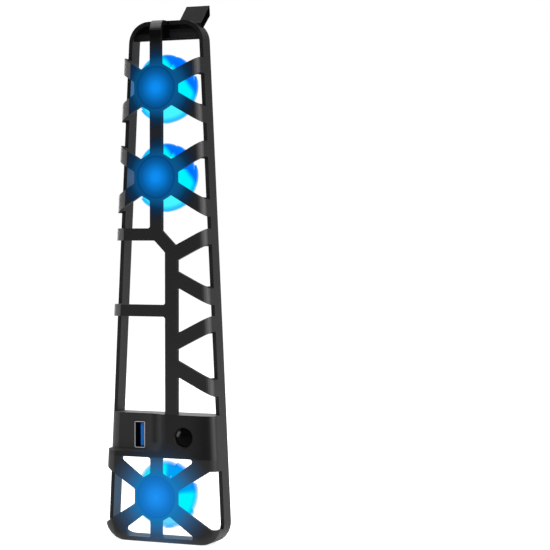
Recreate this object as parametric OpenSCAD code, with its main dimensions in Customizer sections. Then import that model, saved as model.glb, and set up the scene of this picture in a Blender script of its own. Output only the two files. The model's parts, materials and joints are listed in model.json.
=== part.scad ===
// Clip-on cooling fan: a tapered grille frame with three open fans, a pass-through socket and a button.
// X runs to the right, Y to the rear and Z up. The origin is on the rear rim, mid way along the bottom edge.
// Depths are measured backwards from the front face of the frame.

/* [Frame] */
// Width of the frame at its bottom edge
base_w = 65; // [62:0.1:72]
// Width of the frame at its top edge
top_w = 40; // [39.4:0.1:46]
// Height of the frame without its hook
frame_h = 259.1; // [252:0.1:280]
// Depth of the frame from front face to rear rim
frame_d = 15; // [15:0.1:18]
// Wall thickness of the shell
wall = 2; // [1.6:0.1:2.2]
// Corner radius of the outline
corner_r = 11; // [9:0.5:12]
// Width of the rounded front edge
edge_w = 6; // [5:0.1:7]
// Depth of the rounded front edge
edge_d = 3.4; // [2.8:0.1:4]
// Depth of the rail ring at the rear
rail_d = 8; // [7:0.1:8.6]
// Height of the bottom wall
floor_t = 2.7; // [2:0.1:3.2]
// Radius of the fillets where bars meet
fillet_r = 1.2; // [0.6:0.1:1.6]

/* [Spine and straps] */
// Sideways place of the upper spine and the fans
fan_x = -2.3; // [-2.8:0.1:-1.8]
// Width of the upper spine
upper_spine_w = 6.1; // [5.6:0.1:7]
// Sideways place of the lower spine
lower_spine_x = 6.15; // [5.5:0.05:7]
// Width of the lower spine
lower_spine_w = 6.4; // [5.6:0.1:7]
// Distance from the top edge down to the jog of the spine
jog_drop = 105.05; // [102:0.05:108]
// Width of the slanted jog
jog_w = 6.4; // [5.6:0.1:7]
// Height of the upper left strap
strap_1_w = 6.1; // [5:0.1:7]
// Height of the lower left strap
strap_2_w = 5.9; // [5:0.1:7]
// Distance from the upper left strap down to the lower one
strap_pitch = 37.7; // [34:0.1:42]
// Width of the zig-zag ribs
rib_w = 7.1; // [5.6:0.1:7.4]
// Tilt of the zig-zag ribs
rib_tilt = 26.5; // [22:0.5:30]
// Distance from the jog down to the upper pair of ribs
rib_drop = 16.3; // [15:0.1:19]
// Distance between the two pairs of ribs
rib_pitch = 43.95; // [40:0.05:46]
// Distance between the roots of one pair of ribs
rib_spread = 13.1; // [12:0.1:16]

/* [Hubs] */
// Height of the lower fan above the bottom edge
lower_fan_z = 22.9; // [22.4:0.1:23.6]
// Distance from the top edge down to the top fan
top_fan_drop = 33.35; // [32:0.05:35]
// Distance between the top fan and the middle fan
fan_pitch = 44.2; // [42:0.1:47]
// Distance from hub centre to each flat of the hub
hub_apothem = 11.7; // [11.4:0.1:12]
// Width of the spokes at the hub
spoke_w = 7; // [6.4:0.1:7.6]
// Widening of each side of the lower spokes towards the rails
lower_flare = 2; // [0:0.5:3]
// Diameter of the hub cap
cap_dia = 21.2; // [19:0.1:21.4]
// Depth of the hub cap's rim below the hub
cap_depth = 0.9; // [0.6:0.1:1]
// Height of the hub cap's dome
cap_rise = 0.5; // [0.3:0.1:0.6]

/* [Pod] */
// Height of the underside of the pod above the bottom edge
pod_z = 42.5; // [42.2:0.1:43.4]
// Height of the pod
pod_h = 21.6; // [21.2:0.1:23]
// Thickness of the pod floor
pod_floor_t = 3.2; // [2.8:0.1:3.3]
// Depth of the sunk socket face
pocket_d = 3.8; // [3.4:0.1:4.2]
// Right end of the sunk socket face
pocket_x = -6; // [-7:0.1:-5.5]
// Width of the ramp beside the socket face
ramp_w = 9.1; // [8:0.1:10]
// Height of the ramp below the socket face
ramp_h = 0.8; // [0.4:0.1:1.2]
// Lower corner radius of the socket face
pocket_r = 5; // [4:0.1:6]
// Left side of the top right corner plate
top_right_plate_x = 17.6; // [16:0.1:19]
// Right side of the top left corner plate
top_left_plate_x = -21.5; // [-23:0.1:-20]
// Left side of the bottom right corner plate
low_right_plate_x = 18; // [17:0.1:20]
// Right side of the bottom left corner plate
low_left_plate_x = -18.7; // [-20:0.1:-18]
// Height of the upper corner plates
high_plate_h = 5.6; // [4:0.1:7]
// Height of the lower corner plates
low_plate_h = 8.2; // [7:0.1:10]

/* [Fans] */
// Blade tip radius of the fans
tip_r = 17.2; // [15:0.1:17.4]
// Number of blades
blade_count = 7; // [5:1:7]
// Thickness of a blade
blade_t = 0.9; // [0.7:0.05:1.1]
// Radius of the impeller hub
rotor_r = 8.8; // [8.5:0.1:9]
// Wall thickness of the impeller hub
rotor_wall = 1.2; // [1:0.05:1.3]
// Diameter of the motor shaft
shaft_dia = 1.5; // [1.4:0.05:1.6]
// Outer diameter of the sleeve bearing
bearing_dia = 4; // [3.8:0.05:4.2]
// Thickness of the ring magnet
magnet_t = 0.9; // [0.7:0.05:1]
// Thickness of the fan circuit board
board_t = 1; // [0.8:0.05:1.2]
// Radius of the fan circuit board
board_r = 10.7; // [10.4:0.1:11]

/* [Socket and plug] */
// Sideways place of the socket and plug
port_x = -13.1; // [-13.6:0.1:-12.6]
// Height of the socket and plug above the bottom edge
port_z = 53.3; // [53:0.1:53.6]
// Long side of the socket shell
socket_h = 13.14; // [13:0.02:13.2]
// Short side of the socket shell
socket_w = 5.72; // [5.6:0.02:5.8]
// Length of the socket
socket_len = 11; // [10.5:0.1:11.5]
// Sheet thickness of the socket and plug shells
sheet_t = 0.3; // [0.25:0.01:0.35]
// Long side of the plug shell
plug_h = 12; // [11.9:0.02:12.1]
// Short side of the plug shell
plug_w = 4.5; // [4.4:0.02:4.6]
// Length of the plug behind its board
plug_len = 13; // [12:0.1:14]

/* [Button] */
// Sideways place of the button
button_x = 12.85; // [12.4:0.05:13.6]
// Height of the button above the bottom edge
button_z = 53; // [52:0.1:54]
// Diameter of the button hole
button_hole_dia = 9.4; // [9:0.1:10]
// Travel of the button
button_travel = 1; // [0.6:0.1:1]

/* [Hook] */
// Left side of the top hook
hook_x = 4.7; // [4:0.1:5]
// Width of the top hook
hook_w = 12.8; // [11:0.1:13]
// Reach of the hook behind the rear rim
hook_reach = 6.5; // [4:0.1:8]
// Height of the hook above the frame
hook_rise = 8.3; // [7:0.1:11]

/* [Clearances] */
// Gap between fixed pieces that fit into each other
fit_gap = 0.15; // [0.1:0.01:0.2]
// Radial running gap between shaft and bearing
shaft_gap = 0.03; // [0.02:0.01:0.06]
// Running gap between turning and fixed pieces
run_gap = 0.4; // [0.3:0.05:0.5]
// Gap round the button and its stem
slide_gap = 0.3; // [0.2:0.05:0.4]

/* [Hidden] */
FAN_NAMES = ["top", "middle", "lower"];
FAN_PIECES = ["hub_cap", "fan_board", "fan_leds", "fan_bearing", "stator_core", "stator_coils",
    "impeller", "rotor_yoke", "rotor_magnet", "rotor_shaft", "shaft_clip"];
$fn = 64;
hull_fn = 40;
small = 0.01;
past = 1;
far = 120;

// Outline of the frame
side_slope = (base_w - top_w) / (2 * frame_h);
slant = sqrt(1 + side_slope * side_slope);
function half_w(z) = base_w / 2 - side_slope * z;
function corner_x(z) = half_w(z) - corner_r * slant;
rail_front = frame_d - rail_d;

// Heights of the fans and of the bars
top_fan_z = frame_h - top_fan_drop;
middle_fan_z = top_fan_z - fan_pitch;
fan_zs = [top_fan_z, middle_fan_z, lower_fan_z];
spoke_angles = [[24.5, 149, 212, 331], [28.5, 150, 211.5, 330], [33, 146, 214, 326.5]];
spoke_flares = [0, 0, lower_flare];
jog_z = frame_h - jog_drop;
jog_low_z = jog_z - (lower_spine_x - fan_x);
strap_1_drop = 0.9;
strap_1_z = jog_z - strap_1_drop;
strap_2_z = strap_1_z - strap_pitch;
rib_zs = [jog_z - rib_drop, jog_z - rib_drop - rib_pitch];
pod_top = pod_z + pod_h;

// Wire channel behind the spine
channel_w = 2.1;
channel_t = 0.8;
channel_d = 2.4;
channel_out_w = channel_w + 2 * channel_t;
spine_cover_t = 1;
channel_end_gap = 0.6;
cover_end_gap = 1;
cover_low_gap = 0.2;
lead_end_gap = 0.1;
lead_r = 0.8;
lead_gap = 0.1;
lead_depth = wall + lead_r + lead_gap;
lower_lead_depth = 6.6;
lead_bend = 2;
bend_steps = 4;
lead_sides = 8;
lead_inset = 1.4;
lead_drop = 3;
feed_r = 0.45;
feed_gap = 0.2;
feed_rise = 3;

// Pod cavity and its rear cover
cavity_z0 = pod_z + pod_floor_t;
pod_roof_t = 1.8;
cavity_z1 = pod_top - pod_roof_t;
pocket_sill = 0.3;
cover_t = 2;
cover_front = frame_d - cover_t;
screw_z = (cavity_z0 + cavity_z1) / 2;
screw_inset = 5.6;
screw_x = half_w(screw_z) - screw_inset;
screw_r = 1;
screw_head_r = 1.8;
screw_head_t = 1.2;
screw_len = 6;
screw_end_gap = 0.2;
cross_w = 0.5;
cross_len = 2.2;
cross_d = 0.7;
boss_r = 2.3;

// Web, lip and slot that carry the hook
web_h = 9.4;
web_set = 2;
web_front = rail_front + web_set;
web_t = 2;
lip_h = 4.5;
lip_d = 1.4;
lip_x = -1.5;
lip_rise = 0.6;
slot_h = 2.4;

// Foot and tongue of the hook
hook_foot_gap = 0.6;
hook_root = 3;
hook_neck = 1.6;
hook_back_drop = 1.3;
hook_tip_h = 5;
hook_tip_slant = 0.5;
hook_top_gap = 0.1;

// Depths of the fan stack
hub_floor_t = 0.4;
cap_sink = wall - hub_floor_t;
cap_steps = 9;
stack_gap = 0.2;
clip_front = cap_sink + stack_gap;
clip_t = 0.4;
clip_inset = 0.3;
bearing_front = clip_front + clip_t + stack_gap;
rotor_back = frame_d - run_gap;
rotor_end_t = 1.4;
shoulder_r = 3.5;
tube_r = 3;
shoulder_end = 5;
core_t = 3.5;
tube_over = 1.2;
tube_end = shoulder_end + core_t + tube_over;
bearing_end = tube_end - stack_gap;
led_t = 0.8;
led_side = 1.6;
led_count = 6;
led_inset = 1.1;
led_r = board_r - led_inset;
rotor_front = wall + board_t + led_t + 2 * run_gap;
boss_front = tube_end + run_gap;
rotor_boss_t = 1.4;
rotor_boss_r = shaft_dia / 2 + rotor_boss_t;
rotor_bevel = 0.8;
shaft_end_t = 0.4;
shaft_over = 0.1;
rotor_in_r = rotor_r - rotor_wall;
yoke_t = 0.5;
bond_gap = 0.02;
yoke_r = rotor_in_r - bond_gap;
yoke_set = 0.2;
magnet_r = yoke_r - yoke_t - bond_gap;
magnet_lead = 0.2;
magnet_over = 0.6;
air_gap = 0.3;
core_r = magnet_r - magnet_t - air_gap;
core_ring_t = 0.6;
pole_count = 4;
pole_w = 1.6;
shoe_t = 0.9;
shoe_spread = 0.6;
coil_gap = 0.05;
coil_t = 0.65;
coil_inset = 0.1;

// Blades
blade_front = 10;
chord_steps = 7;
span_steps = 4;
root_r = rotor_r - rotor_wall / 2;
blade_angle = 60;
blade_sweep = 9;
tip_round = 0.35;
tip_power = 8;
edge_thinning = 0.6;
camber = 0.1;
blade_reach = 0.99;

// Socket, plug and boards
socket_back = pocket_d + socket_len;
port_board_t = 1;
plug_front = socket_back + port_board_t;
shell_corner_r = 0.6;
tongue_t = 1.84;
tongue_h = 11.1;
tongue_x = 1.1;
tongue_set = 0.8;
tongue_front = pocket_d + tongue_set;
block_t = 2.2;
block_gap = 0.05;
long_contact_set = 2.6;
short_contact_set = 0.4;
short_contact_len = 1.4;
short_contact_w = 0.6;
short_contact_zs = [-4, -2, 0, 2, 4];
contact_t = 0.2;
contact_w = 1;
contact_zs = [-3.5, -1, 1, 3.5];
cover_boss_gap = 0.5;
cover_boss_t = 1.4;
cover_boss_rise = 2.3;
cover_boss_end = plug_front + cover_boss_rise;
board_play = 0.2;
plug_block_t = 2;
plug_tongue_t = 1.9;
plug_tongue_set = 0.4;
plug_contact_set = 1.6;
latch_set = 6.4;
latch_spread = 2.6;
latch_len = 2.2;
latch_h = 2.4;
port_board_w = 7.8;
port_board_h = 13.4;

// Button, switch and control board
button_r = button_hole_dia / 2 - slide_gap;
button_bevel = 0.6;
button_front = 1.6;
button_dish_r = 7;
button_dish_d = 1.1;
flange_t = 0.8;
flange_gap = 0.3;
flange_front = wall + flange_gap;
flange_over = 0.9;
parts_room = 2.6;
control_t = 1;
control_front = cover_front - parts_room - control_t;
switch_side = 6;
switch_t = 3.1;
switch_front = control_front - switch_t;
stem_front = switch_front - button_travel - slide_gap;
stem_r = 1.7;
stem_in = 0.6;
stem_room = 0.4;
control_x0 = 3.6;
board_side_gap = 0.7;
control_x1 = screw_x - boss_r - board_side_gap;
control_low_gap = 1;
control_high_gap = 0.8;
control_z0 = cavity_z0 + control_low_gap;
control_z1 = cavity_z1 - control_high_gap;
post_r = 1.4;
post_in = 2;
post_rise = 7;
post_spots = [[control_x0 + post_in, control_z0 + post_rise], [control_x1 - post_in, control_z1 - post_in]];

// Chip, capacitors and connectors as width, height, thickness and place on the control board
board_items = [[5, 5, 0.9, 0, 0], [1.6, 2.6, 1.2, 4.9, -2], [1.6, 2.6, 1.2, 4.9, 2],
    [2, 1.2, 0.7, -4.6, -2.3], [2, 1.2, 0.7, -4.6, 2.3]];

// A front view shape carried from one depth to another
module along_depth(d0, d1) {
    translate([0, d1 - frame_d, 0])
        rotate([90, 0, 0])
            linear_extrude(d1 - d0)
                children();
}

// A profile of radius and depth turned about a depth axis
module turned(x, z) {
    translate([x, -frame_d, z])
        rotate([-90, 0, 0])
            rotate_extrude()
                children();
}

// A front view square about its middle
module patch(x, z, w, h) {
    translate([x - w / 2, z - h / 2])
        square([w, h]);
}

// A front view bar from one point to another
module bar(from, to, w) {
    run = to - from;
    translate(from)
        rotate(atan2(run[1], run[0]))
            translate([0, -w / 2])
                square([norm(run), w]);
}

// A ring or disc between two depths
module ring(x, z, r_in, r_out, d0, d1) {
    along_depth(d0, d1)
        translate([x, z])
            difference() {
                circle(r_out);
                if (r_in > 0) circle(r_in);
            }
}

// Outer or inner body of the shell, with a rounded front edge
module shell_body(shrink, d0, d1) {
    r = corner_r - shrink;
    bend_w = edge_w - shrink;
    bend_d = edge_d - shrink;
    hull()
        for (side = [-1, 1], z = [corner_r, frame_h - corner_r])
            turned(side * corner_x(z), z, $fn = hull_fn)
                polygon(concat([[0, d0]],
                    [for (a = [0:9:90]) [r - bend_w + bend_w * sin(a), d0 + bend_d - bend_d * cos(a)]],
                    [[r, d1], [0, d1]]));
}

// The straight spine runs and the slanted jog between them
module spine_run(upper_w, slant_w, lower_w, top_z, bottom_z) {
    high = [fan_x, jog_z];
    low = [lower_spine_x, jog_low_z];
    patch(fan_x, (top_z + jog_z) / 2, upper_w, top_z - jog_z);
    bar(high, low, slant_w);
    patch(lower_spine_x, (jog_low_z + bottom_z) / 2, lower_w, jog_low_z - bottom_z);
    translate(high) circle(d = min(upper_w, slant_w));
    translate(low) circle(d = min(slant_w, lower_w));
}

// Hexagonal hub with its four slanted spokes
module hub_star(z, angles, flare) {
    spread = (far - hub_apothem) * tan(flare);
    translate([fan_x, z]) {
        rotate(30)
            circle(hub_apothem / cos(30), $fn = 6);
        for (a = angles)
            rotate(a)
                polygon([[0, -spoke_w / 2], [hub_apothem, -spoke_w / 2],
                    [far, -spoke_w / 2 - spread], [far, spoke_w / 2 + spread],
                    [hub_apothem, spoke_w / 2], [0, spoke_w / 2]]);
    }
}

// Front view of the grille: spine, straps, ribs, hubs and the corner plates of the lower section
module grille() {
    offset(r = -fillet_r)
        offset(delta = fillet_r) {
            spine_run(upper_spine_w, jog_w, lower_spine_w, frame_h + past, pod_z + past);
            bar([-far, strap_1_z], [fan_x, strap_1_z], strap_1_w);
            bar([-far, strap_2_z], [lower_spine_x, strap_2_z], strap_2_w);
            for (z = rib_zs, up = [-1, 1])
                translate([lower_spine_x + lower_spine_w / 2, z + up * rib_spread / 2])
                    rotate(up * rib_tilt)
                        translate([-rib_w / 2, -rib_w / 2])
                            square([far, rib_w]);
            intersection() {
                for (i = [0:2]) hub_star(fan_zs[i], spoke_angles[i], spoke_flares[i]);
                union() {
                    patch(0, lower_fan_z, 2 * far, 2 * (pod_z - lower_fan_z));
                    patch(0, (jog_z + frame_h) / 2, 2 * far, frame_h - jog_z);
                }
            }
            patch(fan_x, (pod_z + past) / 2, upper_spine_w, pod_z + past);
            patch(0, (pod_z + pod_top) / 2, 2 * far, pod_h);
            patch(0, floor_t / 2 - past / 2, 2 * far, floor_t + past);
            corner_plate(top_left_plate_x, -1, pod_z - high_plate_h / 2, high_plate_h);
            corner_plate(top_right_plate_x, 1, pod_z - high_plate_h / 2, high_plate_h);
            corner_plate(low_left_plate_x, -1, low_plate_h / 2, low_plate_h);
            corner_plate(low_right_plate_x, 1, low_plate_h / 2, low_plate_h);
        }
}

// A plate from a given side outwards
module corner_plate(x, side, z, h) {
    patch(x + side * far / 2, z, far, h);
}

// Sunk socket face with a ramp beside it, open at the left and at the top
module pocket() {
    hull()
        for (d = [-past, pocket_d - small])
            along_depth(d, d + small)
                pocket_face(pocket_d - d);
}

// Rounded left end of the sunk socket face
module pocket_end() {
    low = cavity_z0 + pocket_sill;
    difference() {
        along_depth(-past, pocket_d + edge_d)
            translate([-far, low])
                square([far + pocket_x - pocket_r, pod_top + past - low]);
        shell_body(0, pocket_d, frame_d + past);
    }
}

// Front view of the pocket at a height above its floor
module pocket_face(rise) {
    x = pocket_x + ramp_w * rise / pocket_d;
    z = cavity_z0 + pocket_sill - ramp_h * rise / pocket_d;
    polygon(concat([[-far, z]],
        [for (a = [0:10:90]) [x - pocket_r + pocket_r * sin(a), z + pocket_r - pocket_r * cos(a)]],
        [[x, pod_top + past], [-far, pod_top + past]]));
}

// Front view of the pod cavity, drawn in by a gap
module cavity_face(gap) {
    low = cavity_z0 + gap;
    high = cavity_z1 - gap;
    in = wall * slant + gap;
    polygon([[in - half_w(low), low], [half_w(low) - in, low],
        [half_w(high) - in, high], [in - half_w(high), high]]);
}

// Solid pod with its cavity, which keeps a wall behind the pocket
module pod_block() {
    difference() {
        along_depth(0, frame_d)
            patch(0, (pod_z + pod_top) / 2, 2 * far, pod_h);
        difference() {
            along_depth(wall, frame_d + past)
                cavity_face(0);
            translate([0, wall, 0])
                pocket();
        }
    }
}

// Rear web at the top with the lip and slot that carry the hook
module hook_web() {
    web_z = frame_h - web_h;
    lip_z = web_z + lip_rise;
    difference() {
        along_depth(web_front, web_front + web_t)
            patch(0, web_z + far / 2, 2 * far, far);
        along_depth(web_front - past, web_front + web_t + past)
            translate([hook_x, lip_z + lip_h])
                square([hook_w, slot_h]);
    }
    along_depth(web_front - lip_d, web_front)
        translate([lip_x, lip_z])
            square([far, lip_h]);
}

// Front view of the wire channel's run, one width all along
module channel_run(w) {
    spine_run(w, w, w, middle_fan_z - board_r - channel_end_gap, pod_top);
    bridge_run(w);
    patch(fan_x, (pod_z + lower_fan_z + board_r + channel_end_gap) / 2, w,
        pod_z - lower_fan_z - board_r - channel_end_gap);
}

// Front view of the channel between the two upper fans
module bridge_run(w) {
    low = middle_fan_z + board_r + channel_end_gap;
    high = top_fan_z - board_r - channel_end_gap;
    patch(fan_x, (low + high) / 2, w, high - low);
}

// Shouldered tube behind each hub that holds the bearing and the stator
module bearing_tube(z) {
    ring(fan_x, z, 0, shoulder_r, wall - small, shoulder_end);
    ring(fan_x, z, 0, tube_r, wall - small, tube_end);
}

module front_frame() {
    color([0.13, 0.13, 0.14])
        difference() {
            union() {
                intersection() {
                    shell_body(0, 0, frame_d);
                    union() {
                        difference() {
                            union() {
                                along_depth(rail_front, frame_d)
                                    patch(0, frame_h / 2, 2 * far, frame_h + 2 * past);
                                along_depth(-past, rail_front + past)
                                    grille();
                            }
                            shell_body(wall, wall, frame_d + past);
                        }
                        pod_block();
                        hook_web();
                    }
                }
                along_depth(wall - small, wall + channel_d)
                    difference() {
                        channel_run(channel_out_w);
                        channel_run(channel_w);
                    }
                for (z = fan_zs) bearing_tube(z);
                ring(-screw_x, screw_z, 0, boss_r, pocket_d + wall - small, cover_front);
                ring(screw_x, screw_z, 0, boss_r, wall - small, cover_front);
                for (spot = post_spots)
                    ring(spot[0], spot[1], 0, post_r, wall - small, control_front);
            }
            pocket();
            pocket_end();
            for (z = fan_zs) {
                ring(fan_x, z, 0, cap_dia / 2 + fit_gap, -past, cap_sink);
                ring(fan_x, z, 0, bearing_dia / 2 + shaft_gap, -past, tube_end + past);
                ring(fan_x, z, rotor_r, tip_r + run_gap, blade_front - run_gap, frame_d + past);
            }
            for (side = [-1, 1])
                ring(side * screw_x, screw_z, 0, screw_r + shaft_gap,
                    cover_front - screw_len, cover_front + past);
            along_depth(pocket_d - past, pocket_d + wall + past)
                patch(port_x, port_z, socket_w + 2 * fit_gap, socket_h + 2 * fit_gap);
            ring(button_x, button_z, 0, button_hole_dia / 2, -past, wall + past);
            turned(button_x, button_z)
                polygon([[0, -past], [button_hole_dia / 2 + button_bevel + past, -past],
                    [button_hole_dia / 2, button_bevel], [0, button_bevel]]);
            lead_hole(lower_spine_x, lead_depth, cavity_z1 - past, pod_top + past);
            lead_hole(fan_x, lower_lead_depth, pod_z - past, cavity_z0 + past);
            hook_notch();
        }
}

// Upright round hole for a lead
module lead_hole(x, d, z0, z1) {
    translate([x, d - frame_d, z0])
        cylinder(r = lead_r + fit_gap, h = z1 - z0);
}

// Notch in the top wall that the hook passes through
module hook_notch() {
    translate([hook_x - fit_gap, web_front + web_t - frame_d, frame_h - web_h])
        cube([hook_w + 2 * fit_gap, frame_d, far]);
}

// Hook with a foot behind the web and a slanted tongue
module top_hook() {
    foot_front = web_front + web_t;
    foot_back = frame_d - hook_foot_gap;
    foot_z = frame_h - web_h + lip_rise;
    tip_d = frame_d + hook_reach;
    tip_z = frame_h + hook_rise;
    color([0.15, 0.15, 0.16])
        translate([hook_x, -frame_d, 0])
            rotate([90, 0, 90])
                linear_extrude(hook_w)
                    polygon([[foot_front, foot_z], [foot_back, foot_z], [foot_back, frame_h - hook_root],
                        [tip_d, tip_z - hook_tip_h], [tip_d - hook_tip_slant, tip_z],
                        [foot_back - hook_neck, frame_h + hook_top_gap],
                        [foot_front, frame_h - hook_back_drop]]);
}

// Rear cover of the pod with a raised box round the plug
module pod_rear_cover() {
    box_w = port_board_w + 2 * cover_boss_gap + 2 * cover_boss_t;
    box_h = port_board_h + 2 * cover_boss_gap + 2 * cover_boss_t;
    color([0.11, 0.11, 0.12])
        difference() {
            union() {
                along_depth(cover_front, frame_d)
                    cavity_face(fit_gap);
                along_depth(cover_front, cover_boss_end)
                    intersection() {
                        patch(port_x, port_z, box_w, box_h);
                        cavity_face(fit_gap);
                    }
                for (spot = post_spots)
                    ring(spot[0], spot[1], 0, post_r, control_front + control_t, cover_front + small);
            }
            along_depth(cover_front - past, plug_front + board_play)
                patch(port_x, port_z, port_board_w + 2 * cover_boss_gap, port_board_h + 2 * fit_gap);
            along_depth(plug_front, cover_boss_end + past)
                patch(port_x, port_z, plug_w + 2 * fit_gap, plug_h + 2 * fit_gap);
            for (side = [-1, 1]) {
                ring(side * screw_x, screw_z, 0, screw_r + fit_gap, cover_front - past, frame_d + past);
                ring(side * screw_x, screw_z, 0, screw_head_r + fit_gap,
                    frame_d - screw_head_t, frame_d + past);
            }
        }
}

// Two pan head screws that hold the rear cover
module cover_screws() {
    color([0.55, 0.55, 0.57])
        for (side = [-1, 1])
            difference() {
                union() {
                    ring(side * screw_x, screw_z, 0, screw_r,
                        cover_front - screw_len + screw_end_gap, frame_d - screw_head_t + small);
                    ring(side * screw_x, screw_z, 0, screw_head_r, frame_d - screw_head_t, frame_d);
                }
                for (cross = [[cross_len, cross_w], [cross_w, cross_len]])
                    along_depth(frame_d - cross_d, frame_d + past)
                        patch(side * screw_x, screw_z, cross[0], cross[1]);
            }
}

// Rounded rectangular sheet metal tube
module sheet_tube(w, h, d0, d1) {
    along_depth(d0, d1)
        difference() {
            rounded(w, h, shell_corner_r);
            rounded(w - 2 * sheet_t, h - 2 * sheet_t, shell_corner_r - sheet_t);
        }
}

// Front view rectangle with round corners at the socket's place
module rounded(w, h, r) {
    translate([port_x, port_z])
        offset(r = r, $fn = 16)
            square([w - 2 * r, h - 2 * r], center = true);
}

module socket_shell() {
    color([0.72, 0.72, 0.74])
        sheet_tube(socket_w, socket_h, pocket_d, socket_back);
}

// Blue tongue with the block that fills the rear of the shell
module socket_tongue() {
    inner = 2 * (sheet_t + block_gap);
    color([0.1, 0.32, 0.75]) {
        along_depth(socket_back - block_t, socket_back)
            rounded(socket_w - inner, socket_h - inner, shell_corner_r - sheet_t);
        along_depth(tongue_front, socket_back - block_t + small)
            patch(port_x + tongue_x, port_z, tongue_t, tongue_h);
    }
}

// Four long and five short contacts on the tongue
module socket_contacts() {
    x = port_x + tongue_x - tongue_t / 2 - contact_t / 2;
    short_front = tongue_front + short_contact_set;
    color([0.85, 0.7, 0.3]) {
        for (z = contact_zs)
            along_depth(tongue_front + long_contact_set, socket_back - block_t)
                patch(x, port_z + z, contact_t, contact_w);
        for (z = short_contact_zs)
            along_depth(short_front, short_front + short_contact_len)
                patch(x, port_z + z, contact_t, short_contact_w);
    }
}

module port_board() {
    color([0.05, 0.3, 0.16])
        along_depth(socket_back, plug_front)
            patch(port_x, port_z, port_board_w, port_board_h);
}

// Plug shell with two latch windows through it
module plug_shell() {
    color([0.74, 0.74, 0.76])
        difference() {
            sheet_tube(plug_w, plug_h, plug_front, plug_front + plug_len);
            for (side = [-1, 1])
                translate([port_x, plug_front + plug_len - latch_set - frame_d,
                    port_z + side * latch_spread])
                    cube([plug_w + past, latch_len, latch_h], center = true);
        }
}

// Blue insulator on one side of the plug shell
module plug_tongue() {
    inner = 2 * (sheet_t + block_gap);
    left = port_x - plug_w / 2 + sheet_t + block_gap;
    color([0.1, 0.32, 0.75]) {
        along_depth(plug_front, plug_front + plug_block_t)
            rounded(plug_w - inner, plug_h - inner, shell_corner_r - sheet_t);
        along_depth(plug_front + plug_block_t - small, plug_front + plug_len - plug_tongue_set)
            patch(left + plug_tongue_t / 2, port_z, plug_tongue_t, tongue_h);
    }
}

module plug_contacts() {
    left = port_x - plug_w / 2 + sheet_t + block_gap;
    color([0.85, 0.7, 0.3])
        for (z = contact_zs)
            along_depth(plug_front + plug_block_t, plug_front + plug_len - plug_contact_set)
                patch(left + plug_tongue_t + contact_t / 2, port_z + z, contact_t, contact_w);
}

module control_board() {
    color([0.05, 0.3, 0.16])
        along_depth(control_front, control_front + control_t)
            translate([control_x0, control_z0])
                square([control_x1 - control_x0, control_z1 - control_z0]);
}

// Chip, capacitors and connectors on the back of the control board
module control_parts() {
    back = control_front + control_t;
    middle = (control_z0 + control_z1) / 2;
    color([0.1, 0.1, 0.1])
        for (item = board_items)
            along_depth(back, back + item[2])
                patch(button_x + item[3], middle + item[4], item[0], item[1]);
}

// Square push switch with a bore for its stem
module tact_switch() {
    color([0.2, 0.2, 0.22])
        difference() {
            along_depth(switch_front, control_front)
                patch(button_x, button_z, switch_side, switch_side);
            ring(button_x, button_z, 0, stem_r + slide_gap, switch_front - past,
                switch_front + stem_in + button_travel + stem_room);
        }
}

module switch_stem() {
    color([0.9, 0.9, 0.88])
        ring(button_x, button_z, 0, stem_r, stem_front, switch_front + stem_in);
}

// Button with a dished face and a flange that keeps it behind the wall
module power_button() {
    color([0.07, 0.07, 0.08])
        difference() {
            union() {
                ring(button_x, button_z, 0, button_r, button_front, flange_front + small);
                ring(button_x, button_z, 0, button_r + flange_over, flange_front, flange_front + flange_t);
                ring(button_x, button_z, 0, stem_r, flange_front, stem_front);
            }
            translate([button_x, button_front - button_dish_r + button_dish_d - frame_d, button_z])
                sphere(button_dish_r);
        }
}

// Strip that closes the wire channel from the pod to the middle fan
module spine_cover() {
    color([0.12, 0.12, 0.13])
        along_depth(wall + channel_d, wall + channel_d + spine_cover_t)
            spine_run(channel_out_w, channel_out_w, channel_out_w,
                middle_fan_z - board_r - cover_end_gap, pod_top + cover_low_gap);
}

// Strip that closes the wire channel between the two upper fans
module bridge_cover() {
    color([0.12, 0.12, 0.13])
        along_depth(wall + channel_d, wall + channel_d + spine_cover_t)
            bridge_run(channel_out_w);
}

// Route with each corner replaced by a short curve
function unit(v) = v / norm(v);
function bent(points) = let (last = len(points) - 1) concat([points[0]],
    [for (i = [1:1:last - 1], k = [0:bend_steps])
        let (p = points[i], t = k / bend_steps, before = points[i - 1] - p, after = points[i + 1] - p,
            reach = min(lead_bend, norm(before) / 2, norm(after) / 2),
            from = p + reach * unit(before),
            to = p + reach * unit(after))
        from * (1 - t) * (1 - t) + p * 2 * t * (1 - t) + to * t * t],
    [points[last]]);

// Round lead along a route of points, each given as sideways place, depth and height
function lead_ring(path, i, r) =
    let (last = len(path) - 1,
        along = unit(path[min(i + 1, last)] - path[max(i - 1, 0)]),
        u = unit(cross(along, [1, 0.8, 0.5])),
        v = cross(along, u))
    [for (k = [0:lead_sides - 1]) let (a = 360 * k / lead_sides)
        path[i] + r * cos(a) * u + r * sin(a) * v];
module lead(points, r) {
    path = bent(points);
    rings = len(path);
    skin = [for (i = [0:rings - 2], k = [0:lead_sides - 1])
        let (p = i * lead_sides, q = (k + 1) % lead_sides)
        [p + k, p + lead_sides + k, p + lead_sides + q, p + q]];
    start = [for (k = [0:lead_sides - 1]) k];
    end = [for (k = [lead_sides - 1:-1:0]) (rings - 1) * lead_sides + k];
    translate([0, -frame_d, 0])
        polyhedron([for (i = [0:rings - 1]) each lead_ring(path, i, r)],
            concat(split(skin), [start, end]));
}

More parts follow.
